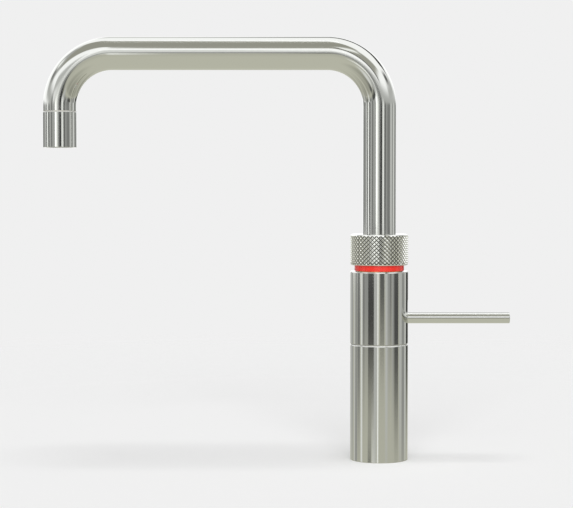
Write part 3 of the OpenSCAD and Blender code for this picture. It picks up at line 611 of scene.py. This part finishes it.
def knurled_metal(name):
    """Metal with painted shade in the knurl's grooves: bright on its tops and beyond its ends, shaded dark in
    its grooves.
    """
    material, tree, shader = new_material(name)
    vector = tree.nodes.new("ShaderNodeTexCoord").outputs["Object"]
    radius = length_of(tree, stretched(tree, vector, (1.0, 1.0, 0.0)))
    # painted shade: the colour darkens from the tops' radius down into the grooves
    raised = spread(tree, radius, 0.0, 1.0, GROOVE_DARK_R * MM, GROOVE_LIGHT_R * MM)
    place = tree.nodes.new("ShaderNodeSeparateXYZ")
    tree.links.new(vector, place.inputs["Vector"])
    within = join(tree, "COMPARE", place.outputs["Z"], (KNURL_Z + KNURL_TOP) / 2 * MM)
    within.node.inputs[2].default_value = (KNURL_TOP - KNURL_Z) / 2 * MM
    height = join(tree, "MAXIMUM", raised, spread(tree, within, SMOOTH_SHARE, 0.0, 0.0, 1.0))
    specks = noise(tree, vector, SPECKS)
    # painted groove shade, with random specks a little darker
    groove_shade_and_specks = join(tree, "MULTIPLY", height, spread(tree, specks, SPECK_WEAR, 1.0))
    shader.inputs["Metallic"].default_value = 1.0
    tree.links.new(tinted(tree, groove_shade_and_specks, GROOVE_SHADE_TONE, KNURL_TONE, 0.0, 1.0), shader.inputs["Base Color"])
    uneven = spread(tree, specks, *(share * KNURL_ROUGHNESS for share in SPECK_ROUGHNESS))
    tree.links.new(uneven, shader.inputs["Roughness"])
    add_bump(tree, shader, specks, KNURL_BUMP, FINE_BUMP_DEPTH)
    return material


def plastic(name, tone, roughness, scale, contrast, bump):
    """Moulded plastic, rubber or ceramic with a fine skin."""
    material, tree, shader = new_material(name)
    vector = tree.nodes.new("ShaderNodeTexCoord").outputs["Object"]
    skin_noise = noise(tree, vector, scale)
    clouds = noise(tree, vector, PLASTIC_CLOUDS, CLOUD_DETAIL)
    tree.links.new(varied(tree, clouds, tone, contrast), shader.inputs["Base Color"])
    uneven = spread(tree, skin_noise, *(roughness + more for more in SKIN_ROUGHNESS))
    tree.links.new(uneven, shader.inputs["Roughness"])
    add_bump(tree, shader, skin_noise, bump, FINE_BUMP_DEPTH)
    return material


def make_materials():
    """All materials by name. Those of the solids have the names of the slots."""
    made = {"knurled_steel": knurled_metal("knurled_steel")}
    for name, looks in METALS.items():
        made[name] = metal(name, **looks)
    for name, looks in PLASTICS.items():
        made[name] = plastic(name, **looks)
    return made


# Studio, in metres and degrees

STUDIO_CENTRE = (-0.07, 0.0, 0.2)
STUDIO_R = 30.0
BACKGROUND = 0.871

# The dome's corners: their step in azimuth, and bands of elevation with start, end and step
AZIMUTH_STEP = 0.75
ELEVATION_BANDS = [(-90, -12, 6), (-12, 12, 0.75), (12, 50, 1.5), (50, 91, 4)]

# Shares of the light on the floor. A lamp has its share, its tilt towards the camera and its spread.
SKY_STRENGTH = 0.38
LAMPS = [("front", 0.18, 68, 40), ("overhead", 0.44, 3, 26)]

# Disc of the floor, which fades out towards its rim
FLOOR_R = 1.15
FLOOR_SIDES = 96
FADE_START = 0.55
FADE_MARGIN = 0.05

CAMERA_PLACE = (-0.0675, -1.3, 0.2036)
CAMERA_DOWN = 2.36
CAMERA_LENS = 112.29
CAMERA_SENSOR = 36.0
CAMERA_CLIP = (0.05, 50.0)

# Mirrored surroundings: azimuth 0 is the camera's side and + is +X, elevation 0 is level. The room gives way
# to the floor between two angles below level, and the floor's far tone to its near tone between two more.
ROOM_TONE = (1.36, 1.37, 1.38)
FAR_FLOOR_TONE = (0.61, 0.61, 0.52)
NEAR_FLOOR_TONE = (0.68, 0.68, 0.575)
FLOOR_EDGE = (2, 4)
FLOOR_CHANGE = (8, 30)
GREY = (0.985, 1.0, 0.975)
OLIVE = (1.0, 1.0, 0.87)

# The floor mirrors the panels faintly at the sides. Each pair is where this begins and where it is full: an
# angle below level, an elevation, and a sine of the azimuth.
FLOOR_SHEEN = 0.45
SHEEN_START = (10, 13)
SHEEN_FADE = (-65, -15)
SHEEN_SIDES = (0.3, 0.6)
SHEEN_FEATHER = 2.0

# Upright panels stand in two rows that meet just below level, with soft sides, tops and feet.
PANEL_FEATHER = 0.8
PANEL_SEAM = (-2.5, -1.5)
PANEL_TOP = (2, 6)
FOOT_FEATHER = 2.5

# Upper row, at the tap's height: middle azimuth, half width, strength
UPPER_PANELS = [
    (-143, 12, 0.2), (-118, 14, 0.45), (-95, 5, 0.14), (-85, 3.5, 1.34), (-74, 6, 0.14), (-60, 5, 0.50),
    (-51, 3, 0.17), (-36, 11, 0.50), (-22, 5, 1.80), (-14, 4, 1.22), (-8, 3, 0.70), (-2, 3.5, 0.34),
    (9, 6.5, 0.04), (21, 4.5, 0.95), (27, 2.5, 1.22), (37, 6, 0.19), (49, 5, 0.40), (65, 11, 0.28),
    (87, 8, 0.71), (102, 6, 0.42), (116, 7, 0.89), (135, 9, 0.24), (154, 12, 0.45),
]

# Lower row: middle azimuth, half width, strength, elevation of the foot
LOWER_PANELS = [
    (-157, 11, 0.6, -9), (-138, 8, 0.46, -9), (-119, 3.5, 0.72, -12), (-107, 6, 0.38, -11),
    (-92, 7, 0.25, -7.7), (-77, 4, 0.96, -12), (-67, 5, 0.27, -6.5), (-54, 8, 0.38, -6),
    (-35, 12, 0.08, -7.2), (-17, 6, 0.60, -9), (-7.5, 2.2, 1.25, -12), (9.3, 8.7, 0.12, -5.4),
    (27, 5, 0.66, -9), (36, 5, 0.42, -6), (44, 4, 0.24, -5.4), (53, 4, 0.45, -7), (60, 3, 0.20, -7),
    (71, 9, 0.10, -7.8), (92, 7, 0.62, -9), (109, 9, 0.37, -9.5), (126, 6.5, 0.72, -9),
    (144.5, 12, 0.04, -7.5), (170, 12, 0.25, -7),
]

# Flat cards above, which hide each other in this order: azimuth and elevation of the middle, half width, half
# height, tilt, softness, strength, tint
CARDS = [
    (60, 4, 85, 9, 0, 7, 0.60, GREY),
    (98, 15, 26, 9, 8, 8, 0.62, GREY),
    (-74, 10, 32, 8, -18, 7, 0.62, GREY),
    (-50, 5, 6, 5, 0, 4, 0.35, GREY),
    (-22, 4, 16, 5, 0, 4, 0.95, GREY),
    (-5, 9, 5, 10, 0, 3, 0.88, GREY),
    (-97, 30, 14, 13, 0, 6, 0.60, GREY),
    (-34, 17, 16, 7, 0, 4, 0.66, GREY),
    (-100, 44, 22, 12, 0, 6, 0.56, GREY),
    (-103, 27, 12, 5, 0, 4, 0.32, GREY),
    (-107, 37, 7, 4, 0, 3, 1.30, GREY),
    (-34, 66, 36, 22, 0, 2, 0.43, OLIVE),
    (2, 47, 8, 16, 0, 2, 0.43, OLIVE),
    (38, 37, 17, 12, 35, 4, 0.46, OLIVE),
    (20, 27, 15, 3, -50, 2, 0.1, OLIVE),
    (24, 46, 11, 4, 25, 3, 1.3, GREY),
    (93, 27, 11, 5, 0, 4, 0.18, GREY),
    (176, 37, 14, 13, 0, 4, 0.84, GREY),
    (149, 36, 27, 7, 0, 2.5, 0.03, OLIVE),
]

# A light and a dark patch on the floor, in the same form
FLOOR_PATCHES = [(-24, -15, 8, 6, 0, 4, 0.95, GREY), (-41, -13.2, 7, 4, 0, 1.5, 0.14, GREY)]


def smooth_step(value, low, high):
    t = np.clip((value - low) / (high - low), 0, 1)
    return t * t * (3 - 2 * t)


def pointing(azimuth, elevation):
    """Unit vectors from angles in degrees."""
    a, e = np.radians(azimuth), np.radians(elevation)
    return np.stack([np.cos(e) * np.sin(a), -np.cos(e) * np.cos(a), np.sin(e)], -1)


def blend(below, above, cover):
    return below * (1 - cover[..., None]) + np.asarray(above) * cover[..., None]


def panel_cover(azimuth, middle, half, feather=PANEL_FEATHER):
    away = np.abs((azimuth - middle + 180) % 360 - 180)
    return 1 - smooth_step(away, half - feather, half + feather)


def hang_card(tone, view, card):
    """Blends a soft-edged card over the tones seen in each direction."""
    middle, height, half_w, half_h, tilt, soft, strength, tint = card
    facing = pointing(middle, height)
    side = pointing(middle + 90, 0)
    top = pointing(middle, height + 90)
    c, s = math.cos(math.radians(tilt)), math.sin(math.radians(tilt))
    side, top = side * c + top * s, top * c - side * s
    along = np.degrees(np.arctan2(view @ side, view @ facing))
    over = np.degrees(np.arcsin(np.clip(view @ top, -1, 1)))
    cover = 1 - smooth_step(np.abs(along), half_w - soft, half_w + soft)
    cover = cover * (1 - smooth_step(np.abs(over), half_h - soft, half_h + soft))
    return blend(tone, strength * np.array(tint), cover)


def studio_tone(azimuth, elevation):
    """Colour strength of the studio in each direction, in degrees."""
    view = pointing(azimuth, elevation)
    plain = np.ones(azimuth.shape + (3,))
    tone = plain * np.array(ROOM_TONE)
    for card in CARDS:
        tone = hang_card(tone, view, card)
    floor = blend(plain * np.array(FAR_FLOOR_TONE), NEAR_FLOOR_TONE, smooth_step(-elevation, *FLOOR_CHANGE))
    tone = blend(tone, floor, smooth_step(-elevation, *FLOOR_EDGE))
    sheen = smooth_step(elevation, *SHEEN_FADE) * smooth_step(-elevation, *SHEEN_START)
    sheen = sheen * smooth_step(np.abs(np.sin(np.radians(azimuth))), *SHEEN_SIDES) * FLOOR_SHEEN
    for middle, half, strength, _ in LOWER_PANELS:
        cover = panel_cover(azimuth, middle, half, SHEEN_FEATHER) * sheen
        tone = blend(tone, strength * np.array(FAR_FLOOR_TONE), cover)
    for patch in FLOOR_PATCHES:
        tone = hang_card(tone, view, patch)
    above_seam = smooth_step(elevation, *PANEL_SEAM)
    for middle, half, strength, foot in LOWER_PANELS:
        cover = panel_cover(azimuth, middle, half)
        cover = cover * smooth_step(elevation, foot - FOOT_FEATHER, foot + FOOT_FEATHER) * (1 - above_seam)
        tone = blend(tone, strength * np.array(GREY), cover)
    for middle, half, strength in UPPER_PANELS:
        cover = panel_cover(azimuth, middle, half) * above_seam * (1 - smooth_step(elevation, *PANEL_TOP))
        tone = blend(tone, strength * np.array(GREY), cover)
    return tone


def make_studio():
    """Large dome that only reflections see, with its strengths kept on its corners."""
    azimuths = np.arange(-180, 180, AZIMUTH_STEP)
    elevations = np.concatenate([np.arange(*band) for band in ELEVATION_BANDS])
    azimuth, elevation = np.meshgrid(azimuths, elevations)
    vertices = np.array(STUDIO_CENTRE) + STUDIO_R * pointing(azimuth, elevation)
    faces = []
    columns = len(azimuths)
    for i in range(len(elevations) - 1):
        for k in range(columns):
            n = (k + 1) % columns
            faces.append((i * columns + k, i * columns + n, (i + 1) * columns + n, (i + 1) * columns + k))
    mesh = bpy.data.meshes.new("studio")
    mesh.from_pydata(vertices.reshape(-1, 3).tolist(), [], faces)
    layer = mesh.attributes.new("strength", "FLOAT_VECTOR", "POINT")
    layer.data.foreach_set("vector", studio_tone(azimuth, elevation).astype(np.float32).ravel())
    studio = add_object("studio", mesh)
    studio.visible_camera = False
    studio.visible_diffuse = False
    studio.visible_shadow = False
    studio.visible_volume_scatter = False
    material, tree = blank_material("studio")
    material.cycles.emission_sampling = "NONE"
    source = tree.nodes.new("ShaderNodeAttribute")
    source.attribute_name = "strength"
    light = tree.nodes.new("ShaderNodeEmission")
    output = tree.nodes.new("ShaderNodeOutputMaterial")
    tree.links.new(source.outputs["Color"], light.inputs["Color"])
    tree.links.new(light.outputs["Emission"], output.inputs["Surface"])
    mesh.materials.append(material)


def mix_shaders(tree, factor, first, second, output):
    mix = tree.nodes.new("ShaderNodeMixShader")
    tree.links.new(factor, mix.inputs["Fac"])
    tree.links.new(first, mix.inputs[1])
    tree.links.new(second, mix.inputs[2])
    tree.links.new(mix.outputs["Shader"], output.inputs["Surface"])


def make_floor():
    """Pale floor that keeps the tap's shadow and fades into the background."""
    work = bmesh.new()
    bmesh.ops.create_circle(work, cap_ends=True, segments=FLOOR_SIDES, radius=FLOOR_R)
    mesh = bpy.data.meshes.new("floor")
    work.to_mesh(mesh)
    work.free()
    floor = add_object("floor", mesh)
    floor.visible_glossy = False
    material, tree = blank_material("floor")
    paint = tree.nodes.new("ShaderNodeBsdfDiffuse")
    paint.inputs["Color"].default_value = (BACKGROUND, BACKGROUND, BACKGROUND, 1)
    clear = tree.nodes.new("ShaderNodeBsdfTransparent")
    distance = length_of(tree, tree.nodes.new("ShaderNodeNewGeometry").outputs["Position"])
    fade = spread(tree, distance, 0.0, 1.0, FADE_START, FLOOR_R - FADE_MARGIN)
    output = tree.nodes.new("ShaderNodeOutputMaterial")
    mix_shaders(tree, fade, paint.outputs["BSDF"], clear.outputs["BSDF"], output)
    mesh.materials.append(material)


def light_scene():
    """Pale surroundings for the eye and for reflections, an even sky for everything else, two soft lamps."""
    world = bpy.data.worlds.new("surroundings")
    bpy.context.scene.world = world
    world.use_nodes = True
    tree = world.node_tree
    tree.nodes.clear()
    seen = tree.nodes.new("ShaderNodeBackground")
    seen.inputs["Color"].default_value = (BACKGROUND, BACKGROUND, BACKGROUND, 1)
    sky = tree.nodes.new("ShaderNodeBackground")
    sky.inputs["Color"].default_value = (1, 1, 1, 1)
    sky.inputs["Strength"].default_value = SKY_STRENGTH
    path = tree.nodes.new("ShaderNodeLightPath")
    either = path.outputs["Is Camera Ray"]
    for ray in ("Is Glossy Ray", "Is Transmission Ray"):
        either = join(tree, "MAXIMUM", either, path.outputs[ray])
    output = tree.nodes.new("ShaderNodeOutputWorld")
    mix_shaders(tree, either, sky.outputs["Background"], seen.outputs["Background"], output)
    for name, share, tilt, spread_angle in LAMPS:
        lamp = bpy.data.lights.new(name, "SUN")
        lamp.energy = share * math.pi / math.cos(math.radians(tilt))
        lamp.angle = math.radians(spread_angle)
        sun = add_object(name, lamp)
        sun.rotation_euler = (math.radians(tilt), 0, 0)


def make_camera():
    data = bpy.data.cameras.new("camera")
    data.sensor_width = CAMERA_SENSOR
    data.lens = CAMERA_LENS
    data.clip_start, data.clip_end = CAMERA_CLIP
    camera = add_object("camera", data)
    camera.location = CAMERA_PLACE
    camera.rotation_euler = (math.radians(90 - CAMERA_DOWN), 0, 0)
    bpy.context.scene.camera = camera


def dress(piece, material, body, slot, *replaced):
    """Gives a piece its material and its body, and hides the solids that it stands for. The slot is not used.
    """
    piece.data.materials.clear()
    piece.data.materials.append(material)
    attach(piece, body)
    if replaced:
        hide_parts(*replaced)


def make_tap(materials):
    steel = materials["polished_steel"]
    base = lathe("base_skin", [
        (SHELL_BORE_R, 0, HIDDEN_EDGE),
        (BODY_R, 0, COLUMN_EDGE),
        (BODY_R, SHELL_TOP - TAPER_H / 2, TAPER_EDGE),
        (BODY_R - TAPER_W / 2, SHELL_TOP, TAPER_EDGE),
        (SHELL_LIP_R, SHELL_TOP, HIDDEN_EDGE),
        (SHELL_LIP_R, SHELL_LIP_Z, HIDDEN_EDGE),
        (SHELL_BORE_R, SHELL_LIP_Z, HIDDEN_EDGE),
    ])
    dress(base, steel, "root", "polished_steel", "base_shell")
    dress(make_sleeve(), steel, "mixer", "polished_steel", "mixer_sleeve")
    rod = lathe("lever_skin", [
        (0, LEVER_SPIGOT_START, 0),
        (LEVER_SPIGOT_R, LEVER_SPIGOT_START, HIDDEN_EDGE),
        (LEVER_SPIGOT_R, LEVER_START, 0),
        (LEVER_R, LEVER_START, HIDDEN_EDGE),
        (LEVER_R, LEVER_END, COLUMN_EDGE),
        (0, LEVER_END, 0),
    ], place=lambda x, y, z: (z, x, y + LEVER_Z), segments=LEVER_SEGMENTS)
    dress(rod, steel, "lever", "polished_steel", "lever_rod")
    dress(make_knurled_ring(), materials["knurled_steel"], "hot_ring", "polished_steel", "knurled_ring")
    red = lathe("red_skin", [
        (RED_BORE_R, RED_Z, HIDDEN_EDGE),
        (RED_R, RED_Z, RED_EDGE),
        (RED_R, RED_TOP, RED_EDGE),
        (RED_BORE_R, RED_TOP, HIDDEN_EDGE),
    ])
    dress(red, materials["red_plastic"], "root", "red_plastic", "indicator_ring")
    spring = make_spring()
    dress(spring, materials["plain_steel"], "hot_drive", "plain_steel", "return_spring")
    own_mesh(spring)
    dress(make_spout(), steel, "spout", "polished_steel", "spout_tube")
    outlet = lathe("outlet_skin", [
        (OUTLET_LIP_R, OUTLET_Z, HIDDEN_EDGE),
        (OUTLET_R, OUTLET_Z, OUTLET_EDGE),
        (OUTLET_R, OUTLET_TOP, OUTLET_EDGE),
        (OUTLET_BORE_R, OUTLET_TOP, HIDDEN_EDGE),
        (OUTLET_BORE_R, OUTLET_LIP_Z, 0),
        (OUTLET_LIP_R, OUTLET_LIP_Z, HIDDEN_EDGE),
    ], centre=(-SPOUT_REACH, 0.0), segments=SPOUT_SEGMENTS)
    dress(outlet, steel, "spout", "polished_steel", "outlet_sleeve")
    seam = lathe("outlet_seam_ring", [
        (SEAM_RING_BORE_R, OUTLET_TOP + SEAM_RING_GAP, 0),
        (SEAM_RING_R, OUTLET_TOP + SEAM_RING_GAP, 0),
        (SEAM_RING_R, TUBE_END_Z - SEAM_RING_GAP, 0),
        (SEAM_RING_BORE_R, TUBE_END_Z - SEAM_RING_GAP, 0),
    ], centre=(-SPOUT_REACH, 0.0), segments=SPOUT_SEGMENTS)
    dress(seam, materials["pale_plastic"], "spout", "pale_plastic")


materials = make_materials()
slot_of = {part["node"]: part["material_slot"] for part in frame["record"]["subparts"]}
for name, node in nodes.items():
    node.data.materials.clear()
    node.data.materials.append(materials[slot_of[name]])
make_camera()
make_tap(materials)
make_studio()
make_floor()
light_scene()
bpy.context.scene.view_settings.view_transform = "Standard"
